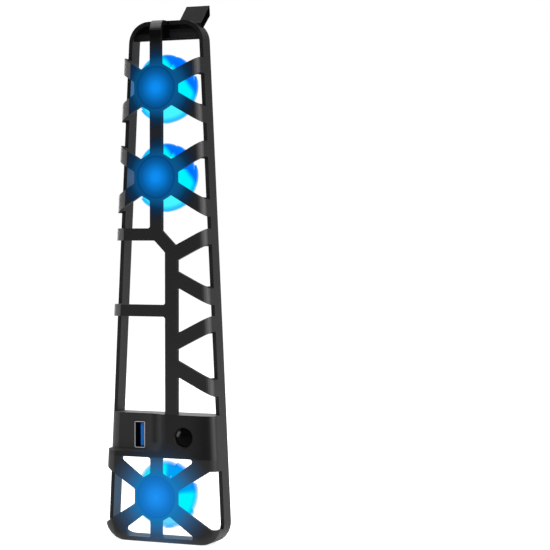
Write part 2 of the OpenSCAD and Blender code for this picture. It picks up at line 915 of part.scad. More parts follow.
// Lead from the control board up the spine to the middle fan
module main_lead() {
    color([0.1, 0.1, 0.1])
        lead([[lower_spine_x, control_front, control_z1 - lead_inset],
            [lower_spine_x, lead_depth, control_z1 - lead_inset],
            [lower_spine_x, lead_depth, jog_low_z],
            [fan_x, lead_depth, jog_z],
            [fan_x, lead_depth, middle_fan_z - board_r - lead_end_gap]], lead_r);
}

// Lead between the two upper fans
module bridge_lead() {
    color([0.1, 0.1, 0.1])
        lead([[fan_x, lead_depth, middle_fan_z + board_r + lead_end_gap],
            [fan_x, lead_depth, top_fan_z - board_r - lead_end_gap]], lead_r);
}

// Lead from the control board down to the lower fan
module lower_lead() {
    turn_z = control_z0 + lead_inset;
    start_x = control_x0 + lead_inset;
    color([0.1, 0.1, 0.1])
        lead([[start_x, control_front, turn_z],
            [start_x, lower_lead_depth, turn_z],
            [fan_x, lower_lead_depth, turn_z],
            [fan_x, lower_lead_depth, pod_z - lead_drop],
            [fan_x, lead_depth, lower_fan_z + board_r + lead_drop],
            [fan_x, lead_depth, lower_fan_z + board_r + lead_end_gap]], lead_r);
}

// Lead from the plug's board to the control board
module feed_lead() {
    x = port_x + socket_w / 2 + feed_r + feed_gap;
    z = port_z + feed_rise;
    d = cover_front - feed_r - feed_gap;
    end_x = control_x0 + lead_inset;
    color([0.55, 0.08, 0.06])
        lead([[x, socket_back, z], [x, d, z],
            [end_x, d, z], [end_x, control_front + control_t, z]], feed_r);
}

// Domed disc set into the hub
module hub_cap(z) {
    r = cap_dia / 2;
    dome_r = (r * r + cap_rise * cap_rise) / (2 * cap_rise);
    color([0.1, 0.35, 0.7])
        turned(fan_x, z)
            polygon(concat([[0, cap_sink], [r, cap_sink]],
                [for (i = [cap_steps:-1:0]) let (q = r * i / cap_steps)
                    [q, cap_depth - cap_rise + dome_r - sqrt(dome_r * dome_r - q * q)]]));
}

module fan_board(z) {
    color([0.9, 0.9, 0.88])
        ring(fan_x, z, shoulder_r + bond_gap, board_r, wall, wall + board_t);
}

// Lamps round the edge of the fan board
module fan_leds(z) {
    color([0.6, 0.85, 1])
        for (i = [0:led_count - 1])
            along_depth(wall + board_t, wall + board_t + led_t)
                translate([fan_x, z])
                    rotate(i * 360 / led_count)
                        translate([led_r - led_side / 2, -led_side / 2])
                            square(led_side);
}

module fan_bearing(z) {
    color([0.75, 0.6, 0.35])
        ring(fan_x, z, shaft_dia / 2 + shaft_gap, bearing_dia / 2, bearing_front, bearing_end);
}

// Laminated core with pole shoes
module stator_core(z) {
    color([0.5, 0.5, 0.52])
        along_depth(shoulder_end, shoulder_end + core_t)
            translate([fan_x, z])
                difference() {
                    union() {
                        circle(tube_r + core_ring_t);
                        for (i = [0:pole_count - 1])
                            rotate(i * 360 / pole_count) {
                                translate([0, -pole_w / 2])
                                    square([core_r - shoe_t / 2, pole_w]);
                                intersection() {
                                    difference() {
                                        circle(core_r);
                                        circle(core_r - shoe_t);
                                    }
                                    polygon([[0, 0], [far, -far * shoe_spread], [far, far * shoe_spread]]);
                                }
                            }
                    }
                    circle(tube_r + bond_gap);
                }
}

// A winding round each arm of the core
module stator_coils(z) {
    inner_w = pole_w + 2 * coil_gap;
    r0 = tube_r + core_ring_t + coil_inset;
    out_w = inner_w / 2 + coil_t;
    r1 = sqrt(pow(core_r - shoe_t, 2) - out_w * out_w) - coil_inset;
    color([0.7, 0.38, 0.16])
        for (i = [0:pole_count - 1])
            difference() {
                along_depth(shoulder_end - coil_t, shoulder_end + core_t + coil_t)
                    translate([fan_x, z])
                        rotate(i * 360 / pole_count)
                            translate([r0, -out_w])
                                square([r1 - r0, 2 * out_w]);
                along_depth(shoulder_end - coil_gap, shoulder_end + core_t + coil_gap)
                    translate([fan_x, z])
                        rotate(i * 360 / pole_count)
                            translate([r0 - past, -inner_w / 2])
                                square([r1 - r0 + 2 * past, inner_w]);
            }
}

// Blade surface: u runs along the chord and v from root to tip, face is -1 in front and 1 behind
function blade_point(u, v, face) =
    let (tip = tip_r - tip_round * pow(abs(2 * u - 1), tip_power),
        r = root_r + (tip - root_r) * v,
        a = blade_angle * (u - 0.5) - blade_sweep * v * v,
        half_t = blade_t / 2 * (1 - edge_thinning * pow(2 * u - 1, 2)),
        front = blade_front + blade_t / 2,
        rise = (rotor_back - blade_t / 2 - front) * (u + camber * sin(180 * u)))
    [r * cos(a), front + rise * blade_reach + face * half_t, r * sin(a)];

// One blade as a closed skin over its grid of points
module blade() {
    row = span_steps + 1;
    side = (chord_steps + 1) * row;
    points = [for (face = [-1, 1], i = [0:chord_steps], j = [0:span_steps])
        blade_point(i / chord_steps, j / span_steps, face)];
    skin = [for (i = [0:chord_steps - 1], j = [0:span_steps - 1])
        let (p = i * row + j) [p, p + row, p + row + 1, p + 1]];
    back = [for (q = skin) [q[3] + side, q[2] + side, q[1] + side, q[0] + side]];
    rim = concat([for (j = [0:span_steps]) j],
        [for (i = [1:chord_steps]) i * row + span_steps],
        [for (j = [span_steps - 1:-1:0]) chord_steps * row + j],
        [for (i = [chord_steps - 1:-1:1]) i * row]);
    edge = [for (k = [0:len(rim) - 1])
        let (p = rim[k], q = rim[(k + 1) % len(rim)]) [p, q, q + side, p + side]];
    polyhedron(points, concat(split(skin), split(back), split(edge)));
}

// Four sided faces cut into triangles
function split(faces) = [for (f = faces, t = [[f[0], f[1], f[2]], [f[0], f[2], f[3]]]) t];

// Fan wheel: a cup over the motor with a ring of swept blades
module impeller(z) {
    color([0.25, 0.6, 1])
        difference() {
            union() {
                turned(fan_x, z)
                    polygon([[rotor_in_r, rotor_front], [rotor_r, rotor_front],
                        [rotor_r, rotor_back - rotor_bevel], [rotor_r - rotor_bevel, rotor_back],
                        [0, rotor_back], [0, boss_front],
                        [rotor_boss_r, boss_front], [rotor_boss_r, rotor_back - rotor_end_t],
                        [rotor_in_r, rotor_back - rotor_end_t]]);
                for (i = [0:blade_count - 1])
                    translate([fan_x, -frame_d, z])
                        rotate([0, i * 360 / blade_count, 0])
                            blade();
            }
            ring(fan_x, z, 0, shaft_dia / 2, boss_front - past, rotor_back - shaft_end_t);
        }
}

module rotor_yoke(z) {
    color([0.6, 0.6, 0.62])
        ring(fan_x, z, yoke_r - yoke_t, yoke_r, rotor_front + yoke_set, rotor_back - rotor_end_t);
}

module rotor_magnet(z) {
    color([0.2, 0.18, 0.17])
        ring(fan_x, z, magnet_r - magnet_t, magnet_r, shoulder_end - magnet_lead,
            shoulder_end + core_t + magnet_over);
}

module rotor_shaft(z) {
    color([0.8, 0.8, 0.82])
        ring(fan_x, z, 0, shaft_dia / 2, clip_front - shaft_over, rotor_back - shaft_end_t);
}

// Clip on the shaft that keeps the rotor in its bearing
module shaft_clip(z) {
    color([0.85, 0.85, 0.8])
        ring(fan_x, z, shaft_dia / 2, bearing_dia / 2 - clip_inset, clip_front, clip_front + clip_t);
}

front_frame();
top_hook();
pod_rear_cover();
cover_screws();
socket_shell();
socket_tongue();
socket_contacts();
port_board();
plug_shell();
plug_tongue();
plug_contacts();
control_board();
control_parts();
tact_switch();
switch_stem();
power_button();
spine_cover();
bridge_cover();
main_lead();
bridge_lead();
lower_lead();
feed_lead();
for (i = [0:2]) {
    fan = FAN_NAMES[i];
    z = fan_zs[i];
    hub_cap(z);
    fan_board(z);
    fan_leds(z);
    fan_bearing(z);
    stator_core(z);
    stator_coils(z);
    impeller(z);
    rotor_yoke(z);
    rotor_magnet(z);
    rotor_shaft(z);
    shaft_clip(z);
}
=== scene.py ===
"""Clip-on cooling fan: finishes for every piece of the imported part, with a plain studio round it."""

import json
import math

import bpy
from mathutils import Matrix, Vector


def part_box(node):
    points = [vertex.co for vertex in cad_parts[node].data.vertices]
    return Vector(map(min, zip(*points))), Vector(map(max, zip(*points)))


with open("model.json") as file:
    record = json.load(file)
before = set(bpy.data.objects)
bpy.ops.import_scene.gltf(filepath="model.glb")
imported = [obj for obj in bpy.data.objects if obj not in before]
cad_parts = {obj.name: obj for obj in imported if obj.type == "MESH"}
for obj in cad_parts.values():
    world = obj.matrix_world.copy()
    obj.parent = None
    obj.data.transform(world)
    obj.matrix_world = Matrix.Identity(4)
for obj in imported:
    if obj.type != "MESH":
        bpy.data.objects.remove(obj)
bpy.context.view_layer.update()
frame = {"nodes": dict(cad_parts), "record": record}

MM = 0.001
FANS = ("top", "middle", "lower")
BLACK = (0.0, 0.0, 0.0)


def grey(value):
    """A grey colour of that value."""
    return (value, value, value)


def per_fan(upper, lower):
    """One value for the two upper fans and another for the lower fan."""
    return {"top": upper, "middle": upper, "lower": lower}


def past(base, start, end):
    """The two ends of a fade, at distances in millimetres past a place."""
    return base + start * MM, base + end * MM


# Where a value below is a pair of places or of face turns, a fade is 0 at the first and 1 at the second

# Places on the frame
BASE_HALF = 32.5 * MM
TOP_HALF = 20 * MM
FRAME_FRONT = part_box("front_frame")[0].y
FRAME_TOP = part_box("front_frame")[1].z
SIDE_TAPER = (BASE_HALF - TOP_HALF) / FRAME_TOP
POD_BOTTOM = 42.5 * MM
POD_TOP = 64.2 * MM

# Lamp light through the hub caps: level by share of the reach from the axis, darker by share of the radius
CAP_TINT = per_fan((0.003, 0.255, 0.88), (0.011, 0.28, 0.91))
CAP_REACH = per_fan(25 * MM, 30 * MM)
CAP_GLOW = per_fan(
    ((0.0, 1.0), (0.08, 0.955), (0.16, 0.74), (0.24, 0.55), (0.32, 0.36), (0.4, 0.29), (0.48, 0.29)),
    ((0.0, 1.0), (0.133, 0.84), (0.267, 0.6), (0.4, 0.53)))
CAP_RIM = per_fan(
    ((0.0, 1.0), (0.86, 1.0), (0.97, 0.76), (1.0, 0.66)),
    ((0.0, 1.0), (0.86, 1.0), (1.0, 0.9)))

# Lamp light in the blades: deep blue in a sweep to the upper right, cyan beside it and pale below
SWEEP_COLOUR = per_fan((0.0, 0.16, 0.98), (0.0, 0.36, 0.92))
SWEEP_ANGLE = per_fan(math.radians(42), math.radians(48))
SWEEP_IS_WEDGE = per_fan(False, True)
SWEEP_LEVEL = per_fan(
    ((0.0, 0.0), (0.5, 0.0), (0.68, 1.0), (1.0, 1.0)),
    ((0.0, 0.0), (0.68, 0.0), (0.84, 1.0), (1.0, 1.0)))
BLADE_SIDE = (0.0, 0.9, 0.95)
BLADE_LOW = per_fan((0.06, 0.92, 0.97), (0.12, 0.68, 0.95))
LOW_TURN = (-0.55, -0.85)

# Lamp light in the outer part and rim of the blades, by share of the tip's radius, and how solid they look
BLADE_OUTER = (0.0, 0.22, 0.98)
OUTER_SHARE = 0.6
OUTER_LEVEL = ((0.0, 0.0), (0.82, 0.0), (0.94, 1.0))
BLADE_RIM = (0.3, 0.62, 0.95)
RIM_LEVEL = ((0.0, 0.0), (0.96, 0.0), (1.0, 0.6))
BLADE_SOLID = per_fan(
    ((0.0, 1.0), (0.96, 1.0), (1.0, 0.6)),
    ((0.0, 1.0), (0.86, 1.0), (1.0, 0.35)))

# Lamp light on the rear of a fan wheel: colour by share of the tip's radius, level by depth
REAR_TONES = (
    (0.0, (0.0, 0.05, 0.17)), (0.44, (0.0, 0.1, 0.3)), (0.5, (0.0, 0.17, 0.45)),
    (0.525, (0.0, 0.62, 0.95)), (0.8, (0.0, 0.4, 0.92)), (1.0, (0.04, 0.3, 0.88)))
REAR_LEVEL = (0.35, 1.0)
REAR_DEPTH = (-4.6 * MM, -0.6 * MM)
REAR_FACES = (-0.1, -0.3)

# Lamp light on the frame: level by distance in millimetres from a centre right of the axis
GLOW_SHIFT = 2.3 * MM
GLOW_FLATTEN = 1.07
GLOW_END = 30
GLOW_TINT = per_fan((0.0, 0.3, 0.88), (0.012, 0.345, 0.9))
GLOW_LEVEL = per_fan(
    ((0, 0.31), (10, 0.3), (12.3, 0.27), (14.5, 0.19), (16.7, 0.095), (19, 0.048), (21, 0.02), (24, 0)),
    ((0, 0.56), (10.5, 0.55), (13.3, 0.47), (15, 0.4), (17.5, 0.285), (19.4, 0.2), (21.9, 0.13),
     (24.6, 0.073), (27, 0.035), (30, 0)))
GLOW_NEAR = per_fan(((0, 1), (17, 1), (24, 0)), ((0, 1), (13, 1), (18.5, 0)))
GLOW_DEPTH = past(FRAME_FRONT, 6.5, 5.5)
GLOW_ON_POD = 0.33
POD_SHADE_START = past(POD_BOTTOM, -0.5, 0.5)
POD_SHADE_END = past(POD_TOP, 0, 1)
# Painted shade: how far the base colour is darkened under the lamp glow
LIT_SHADE = 0.8

# Lamp light on the faces that look towards a fan: the distances where it starts and where it dies away
SPILL_TINT = per_fan((0.05, 0.15, 0.32), (0.005, 0.05, 0.11))
SPILL_START = (13 * MM, 14 * MM)
SPILL_END = per_fan((21.5 * MM, 17.5 * MM), (40 * MM, 26 * MM))

# Satin skin and painted sheen of the bends: level by the way a face looks, from the left at 0 to the right at
# 1
BEND_BY_TURN = ((0.0, 0.0), (0.05, 0.6), (0.3, 1.0), (0.42, 0.95), (0.47, 0.0), (0.64, 0.0), (0.74, 0.55),
                (0.85, 0.5), (0.96, 0.42), (1.0, 0.0))
LEFT_TO_RIGHT = (-1.0, 1.0)
# Painted sheen: the paler base colour of the bends, the shelves, the pod's top and the bottom edge
BEND_PAINTED_SHEEN = (0.06, 0.059, 0.058)
BEND_REACH = (7 * MM, 6 * MM)
BEND_FACES = (0.02, 0.1)
LOW_BEND = 0.3
LOW_BEND_END = past(POD_TOP, 0, 4)
TOP_BEND_FACES = (0.1, 0.3)
TOP_BEND_RISE = past(FRAME_TOP, -19.1, -9.1)
TOP_BEND_HALF = (8 * MM, 7 * MM)

# Satin skin and painted sheen of the shelves, of the pod's top and of the bottom edge
SHELF_FACES = (0.9, 0.97)
SHELF_LEVEL = (0.08, 0.85)
POD_SHELF_RISE = past(POD_TOP, -5, -1)
UNDER_FACES = (-0.15, -0.4)
UNDER_RISE = (8 * MM, 4 * MM)
UNDER_LEVEL = 0.15

# Gloss of the frame, and what is left of it by height and on each kind of face; the masks of the inner sides,
# the recess under the top and the spine's top also carry painted shade
FRAME_GLOSS = 0.3
LIT_SPECULAR = 0.02
SATIN_ROUGHNESS = 0.48
FRONT_FACES = (0.2, 0.8)
GLOSS_RISE = (60 * MM, FRAME_TOP - 9.1 * MM)
TOP_GLOSS = 0.35
RAIL_FACES = (0.5, 0.9)
LEFT_RAIL = (-8 * MM, -12 * MM)
RAIL_GLOSS = 0.95
SPINE_HALF = (4.5 * MM, 4 * MM)
SPINE_TOP_RISE = past(FRAME_TOP, -15.1, -8.1)
SPINE_TOP_GLOSS = 0.3
SIDE_FACES = (0.6, 0.95)
SIDE_GLOSS = 1.2
INNER_FACES = (0.4, 0.7)
INNER_GAP = (2.5 * MM, 3.5 * MM)
INNER_LOSS = 0.5
RECESS_DEPTH = past(FRAME_FRONT, 6, 9)
TOP_RECESS = past(FRAME_TOP, -6.6, -5.6)
RECESS_LOSS = (0.5, 1.0)
# How dark the painted shade gets
PAINTED_SHADE_LEVEL = 0.9

# Gloss of the pod: its lip, its right end, and the sunk face with the dull bend at its right
POD_FLOOR = past(POD_BOTTOM, -0.2, 0.2)
POD_ROOF = past(POD_TOP, 0.4, 0)
POD_FACES = (0.8, 0.95)
LIP_DEPTH = past(FRAME_FRONT, 1.5, 0.5)
LIP_LOSS = 0.4
POD_RIGHT = (16 * MM, 24 * MM)
POD_RIGHT_LOSS = 0.45
SUNK_SPAN = (-14 * MM, -7 * MM)
SUNK_GAIN = (0.2, 0.6)
SUNK_BEND_LEFT = (-7 * MM, -5.2 * MM)
SUNK_BEND_RIGHT = (-1.5 * MM, -3.8 * MM)
SUNK_BEND_RISE = (48.5 * MM, 50.5 * MM)
SUNK_BEND_LOSS = 0.9

# Button: painted shade on the wall of its hole, its gloss below the middle, and a painted glint with extra
# gloss near its rim
WELL_GAP = (1.5 * MM, 1.2 * MM)
WELL_FACES = (0.9, 0.7)
# Painted shade on the wall of the button's hole, and the gloss it loses
WELL_LOSS = 0.6
BUTTON_GLOSS = 0.05
BUTTON_FADE = (MM, -MM)
GLINT_ANGLE = math.radians(153)
GLINT_TURN = (0.88, 0.98)
GLINT_RING = (0.55, 0.9)
PAINTED_GLINT_COLOUR = grey(0.16)

# Hook: its gloss, and its side, dull and darkened with painted shade
HOOK_GLOSS = 0.15
HOOK_SIDE_FACES = (0.3, 0.7)
HOOK_SIDE_PAINTED_SHADE = grey(0.0015)

# Plastic and metal
DUST_COLOUR = (0.35, 0.34, 0.33)
EDGE_PALER = 2.2
EDGE_GAIN = 3.0
GRAIN_BUMP = 0.35
STREAK_BUMP = 0.2
STREAK_DEPTH = 0.01 * MM
STREAK_STRETCH = (1, 0.04, 1)
METAL_EDGE = 0.12 * MM
# Painted shade inside the socket's shell, from a little behind its mouth
SHELL_INSIDE_PAINTED_SHADE = (0.012, 0.012, 0.014)
SHELL_MOUTH = past(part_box("socket_shell")[0].y, 0.2, 1.2)
LAMP_LIGHT = (0.0, 0.75, 0.95)

# Circuit boards and wound wire
BOARD_TONE = 0.85
BOARD_ROUGH = (0.28, 0.4)
BOARD_EDGE = 0.1 * MM
TRACE_BUMP = 0.3
TRACE_DEPTH = 0.03 * MM
WIRE_DARK = (0.3, 0.1, 0.03)
WIRE_LIGHT = (0.75, 0.32, 0.12)
WIRE_ROUGH = (0.4, 0.25)
WIRE_BUMP = 0.8
WIRE_DEPTH = 0.1 * MM

# Camera, as the picture was taken: turned 27 degrees, level, long lens
IMAGE_SIDE = 550
VIEW_AZIMUTH = math.radians(27)
VIEW_DISTANCE = 0.907
FOCAL_PIXELS = 1833
SENSOR = 36
AIM_POINT = Vector((0, -0.015, 0.1519))
AIM_PIXEL = (159.5, 237)

# Studio
FLOOR_HALF = 6.0
FLOOR_COLOUR = 0.8
FLOOR_SEEN = 0.76
SURROUND_LIGHT = (0.35, 0.35, 0.36)
SURROUND_SEEN = grey(1.0)
LIGHT_TARGET = Vector((0, 0, 0.13))


def axis_of(node):
    """Sideways place and height of a round node's axis."""
    low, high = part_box(node)
    middle = (low + high) / 2
    return middle.x, middle.z


def radius_of(node):
    """Radius of a round node."""
    low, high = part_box(node)
    return (high.z - low.z) / 2


# Node helpers

def add_node(tree, kind, settings=None, inputs=None):
    """A node of that kind with its settings and its unlinked input values."""
    node = tree.nodes.new(kind)
    for key, value in (settings or {}).items():
        setattr(node, key, value)
    for key, value in (inputs or {}).items():
        node.inputs[key].default_value = value
    return node


def join(tree, source, target):
    """A link between two sockets."""
    tree.links.new(source, target)


def math_node(tree, operation, first, second=None, clamp=False):
    """A math node whose inputs are sockets or numbers; gives back its output."""
    node = add_node(tree, "ShaderNodeMath", {"operation": operation, "use_clamp": clamp})
    for place, value in enumerate((first, second)):
        if value is None:
            continue
        if isinstance(value, (int, float)):
            node.inputs[place].default_value = value
        else:
            join(tree, value, node.inputs[place])
    return node.outputs[0]


def combine(tree, operation, values):
    """Several sockets or numbers taken together by one operation."""
    result = values[0]
    for value in values[1:]:
        result = math_node(tree, operation, result, value)
    return result


def product(tree, *values):
    """The product of several sockets or numbers."""
    return combine(tree, "MULTIPLY", values)


def total(tree, *values):
    """The sum of several sockets or numbers."""
    return combine(tree, "ADD", values)


def largest(tree, *values):
    """The largest of several sockets or numbers."""
    return combine(tree, "MAXIMUM", values)


def rest(tree, value):
    """1 less the value."""
    return math_node(tree, "SUBTRACT", 1.0, value)


def fade(tree, value, ends):
    """0 at the first of two values and 1 at the second, held outside them."""
    node = add_node(tree, "ShaderNodeMapRange", inputs={"From Min": ends[0], "From Max": ends[1]})
    join(tree, value, node.inputs["Value"])
    return node.outputs["Result"]


def spread(tree, share, start, end):
    """A 0 to 1 share spread between two numbers."""
    node = add_node(tree, "ShaderNodeMapRange", inputs={"To Min": start, "To Max": end})
    join(tree, share, node.inputs["Value"])
    return node.outputs["Result"]


def ramp_node(tree, factor, stops, interpolation="LINEAR"):
    """A colour ramp with stops of place and colour; gives back its colour output."""
    node = add_node(tree, "ShaderNodeValToRGB")
    ramp = node.color_ramp
    ramp.interpolation = interpolation
    while len(ramp.elements) < len(stops):
        ramp.elements.new(1)
    for element, (place, colour) in zip(ramp.elements, stops):
        element.position = place
        element.color = (*colour, 1)
    join(tree, factor, node.inputs["Fac"])
    return node.outputs["Color"]


def greys(stops):
    """Ramp stops of place and grey value."""
    return [(place, grey(value)) for place, value in stops]


def mix_colour(tree, factor, first, second, blend="MIX"):
    """A colour mix whose inputs are sockets or colours; gives back its result."""
    node = add_node(tree, "ShaderNodeMix", {"data_type": "RGBA", "blend_type": blend})
    for socket, value in ((node.inputs["Factor"], factor), (node.inputs[6], first), (node.inputs[7], second)):
        if isinstance(value, (int, float)):
            socket.default_value = value
        elif isinstance(value, tuple):
            socket.default_value = (*value, 1)
        else:
            join(tree, value, socket)
    return node.outputs[2]


def tinted(tree, level, tint):
    """A colour scaled by its level."""
    return mix_colour(tree, level, BLACK, tint)


def object_place(tree):
    """Coordinates in the part's own frame, in metres."""
    return add_node(tree, "ShaderNodeTexCoord").outputs["Object"]


def frame_place(tree):
    """Sideways, depth and height coordinates in the part's own frame."""
    parts = add_node(tree, "ShaderNodeSeparateXYZ")
    join(tree, object_place(tree), parts.inputs[0])
    return parts.outputs


def face_parts(tree):
    """Sideways, depth and height parts of the way a face looks."""
    parts = add_node(tree, "ShaderNodeSeparateXYZ")
    join(tree, add_node(tree, "ShaderNodeNewGeometry").outputs["Normal"], parts.inputs[0])
    return parts.outputs


def length(tree, across, up):
    """Length of an offset with two parts."""
    return math_node(tree, "SQRT", total(tree, product(tree, across, across), product(tree, up, up)))


# Effects that several finishes share

FLOAT = "NodeSocketFloat"
NORMAL = "NodeSocketVector"


def new_group(name, inputs, outputs):
    """An empty shader node group with float inputs of given defaults and typed outputs."""
    tree = bpy.data.node_groups.new(name, "ShaderNodeTree")
    for key, value in inputs.items():
        socket = tree.interface.new_socket(key, in_out="INPUT", socket_type=FLOAT)
        socket.default_value = value
    for key, kind in outputs.items():
        tree.interface.new_socket(key, in_out="OUTPUT", socket_type=kind)
    source = tree.nodes.new("NodeGroupInput")
    target = tree.nodes.new("NodeGroupOutput")
    return tree, source.outputs, target.inputs


def noise_node(tree, place, scale, inputs):
    """Noise over a place with a scale from a socket; gives back its value."""
    noise = add_node(tree, "ShaderNodeTexNoise", inputs=inputs)
    join(tree, place, noise.inputs["Vector"])
    join(tree, scale, noise.inputs["Scale"])
    return noise.outputs["Fac"]


def make_moulded_grain():
    """Fine spark-eroded grain: a height for bump and a slow change of tone."""
    tree, given, result = new_group(
        "moulded_grain", {"Scale": 2600.0, "Tone Scale": 90.0}, {"Height": FLOAT, "Tone": FLOAT})
    place = object_place(tree)
    fine = noise_node(tree, place, given["Scale"], {"Detail": 3.0, "Roughness": 0.6})
    slow = noise_node(tree, place, given["Tone Scale"], {"Detail": 4.0, "Roughness": 0.55})
    join(tree, fine, result["Height"])
    join(tree, slow, result["Tone"])
    return tree


def make_rounded_edges():
    """Softened edges: a rounded normal and a mask that is 1 on the edge itself."""
    tree, given, result = new_group(
        "rounded_edges", {"Radius": 0.35 * MM}, {"Normal": NORMAL, "Edge": FLOAT})
    bevel = add_node(tree, "ShaderNodeBevel", {"samples": 6})
    join(tree, given["Radius"], bevel.inputs["Radius"])
    flat = add_node(tree, "ShaderNodeNewGeometry")
    alike = add_node(tree, "ShaderNodeVectorMath", {"operation": "DOT_PRODUCT"})
    join(tree, bevel.outputs["Normal"], alike.inputs[0])
    join(tree, flat.outputs["Normal"], alike.inputs[1])
    away = rest(tree, alike.outputs["Value"])
    join(tree, bevel.outputs["Normal"], result["Normal"])
    join(tree, math_node(tree, "MULTIPLY", away, EDGE_GAIN, clamp=True), result["Edge"])
    return tree


def make_settled_dust():
    """Dust that lies on faces that look up, broken by noise."""
    tree, given, result = new_group("settled_dust", {"Amount": 0.2, "Scale": 240.0}, {"Mask": FLOAT})
    noise = noise_node(tree, object_place(tree), given["Scale"], {"Detail": 5.0})
    up = math_node(tree, "MULTIPLY", face_parts(tree)["Z"], noise, clamp=True)
    join(tree, math_node(tree, "MULTIPLY", up, given["Amount"], clamp=True), result["Mask"])
    return tree


def make_face_turn():
    """The way a face looks: to the right, to the front and up, each from -1 to 1."""
    tree, _, result = new_group("face_turn", {}, {"Right": FLOAT, "Front": FLOAT, "Up": FLOAT})
    parts = face_parts(tree)
    join(tree, parts["X"], result["Right"])
    join(tree, math_node(tree, "MULTIPLY", parts["Y"], -1.0), result["Front"])
    join(tree, parts["Z"], result["Up"])
    return tree


def make_axis_place():
    """Place round an axis that runs front to back: sideways and upward offset, and distance, in metres."""
    tree, given, result = new_group(
        "axis_place", {"Axis X": 0.0, "Axis Z": 0.0}, {"Across": FLOAT, "Up": FLOAT, "Distance": FLOAT})
    place = frame_place(tree)
    across = math_node(tree, "SUBTRACT", place["X"], given["Axis X"])
    up = math_node(tree, "SUBTRACT", place["Z"], given["Axis Z"])
    join(tree, across, result["Across"])
    join(tree, up, result["Up"])
    join(tree, length(tree, across, up), result["Distance"])
    return tree


def make_drawn_streaks():
    """Streaks of rolled or ground metal along the depth: one value for height and tone."""
    tree, given, result = new_group("drawn_streaks", {"Scale": 3000.0}, {"Streak": FLOAT})
    stretch = add_node(tree, "ShaderNodeMapping", inputs={"Scale": STREAK_STRETCH})
    join(tree, object_place(tree), stretch.inputs["Vector"])
    join(tree, noise_node(tree, stretch.outputs["Vector"], given["Scale"], {"Detail": 3.0}), result["Streak"])
    return tree


GROUPS = {
    "grain": make_moulded_grain(),
    "edges": make_rounded_edges(),
    "dust": make_settled_dust(),
    "turn": make_face_turn(),
    "axis": make_axis_place(),
    "streaks": make_drawn_streaks(),
}


def place_group(tree, name, values=None):
    """One of the shared effects placed in a material with its own values."""
    node = add_node(tree, "ShaderNodeGroup", {"node_tree": GROUPS[name]}, values)
    return node.outputs


def place_round(tree, node):
    """Place round the axis of a round node."""
    x, z = axis_of(node)
    return place_group(tree, "axis", {"Axis X": x, "Axis Z": z})


def place_round_fan(tree, fan):
    """Place round one fan's axis."""
    return place_round(tree, fan + "_hub_cap")


def toward(tree, place, angle):
    """How far a place lies from its axis in the direction of an angle."""
    across = product(tree, place["Across"], math.cos(angle))
    up = product(tree, place["Up"], math.sin(angle))
    return total(tree, across, up)


# Kinds of finish

def new_finish(name):
    """A material with a Principled shader."""
    finish = bpy.data.materials.new(name)
    finish.use_nodes = True
    return finish


def shader_of(finish):
    """The node tree of a material and its Principled shader."""
    return finish.node_tree, finish.node_tree.nodes["Principled BSDF"]


def bump(tree, shader, height, strength, depth, normal=None):
    """A bump of that depth in metres into the shader's normal."""
    node = add_node(tree, "ShaderNodeBump", inputs={"Strength": strength, "Distance": depth})
    join(tree, height, node.inputs["Height"])
    if normal is not None:
        join(tree, normal, node.inputs["Normal"])
    join(tree, node.outputs["Normal"], shader.inputs["Normal"])


def paint(tree, shader, mask, colour):
    """Another colour over the one that the shader has, where the mask is 1."""
    base = shader.inputs["Base Color"]
    join(tree, mix_colour(tree, mask, base.links[0].from_socket, colour), base)


def shine(tree, shader, colour):
    """Light of that colour given off by the surface."""
    join(tree, colour, shader.inputs["Emission Color"])
    shader.inputs["Emission Strength"].default_value = 1.0


def satin(tree, shader, weight):
    """A satin skin whose weight changes over the surface."""
    join(tree, weight, shader.inputs["Coat Weight"])
    shader.inputs["Coat Roughness"].default_value = SATIN_ROUGHNESS


def moulded(name, dark, light, rough=(0.42, 0.55), depth=0.02 * MM, dust=0.12, edge=0.25, radius=0.35 * MM,
            specular=0.4):
    """Moulded plastic: fine grain, slow tone, softer paler edges and a little dust."""
    finish = new_finish(name)
    tree, shader = shader_of(finish)
    grain = place_group(tree, "grain")
    edges = place_group(tree, "edges", {"Radius": radius})
    settled = place_group(tree, "dust", {"Amount": dust})
    join(tree, mix_colour(tree, grain["Tone"], dark, light), shader.inputs["Base Color"])
    paint(tree, shader, product(tree, edges["Edge"], edge), tuple(EDGE_PALER * value for value in light))
    paint(tree, shader, settled["Mask"], DUST_COLOUR)
    join(tree, spread(tree, grain["Tone"], *rough), shader.inputs["Roughness"])
    bump(tree, shader, grain["Height"], GRAIN_BUMP, depth, edges["Normal"])
    shader.inputs["Specular IOR Level"].default_value = specular
    return finish


def metal(name, dark, light, rough=(0.22, 0.38)):
    """Metal with drawn streaks and softened edges."""
    finish = new_finish(name)
    tree, shader = shader_of(finish)
    streak = place_group(tree, "streaks")["Streak"]
    edges = place_group(tree, "edges", {"Radius": METAL_EDGE})
    join(tree, mix_colour(tree, streak, dark, light), shader.inputs["Base Color"])
    join(tree, spread(tree, streak, *rough), shader.inputs["Roughness"])
    bump(tree, shader, streak, STREAK_BUMP, STREAK_DEPTH, edges["Normal"])
    shader.inputs["Metallic"].default_value = 1.0
    return finish


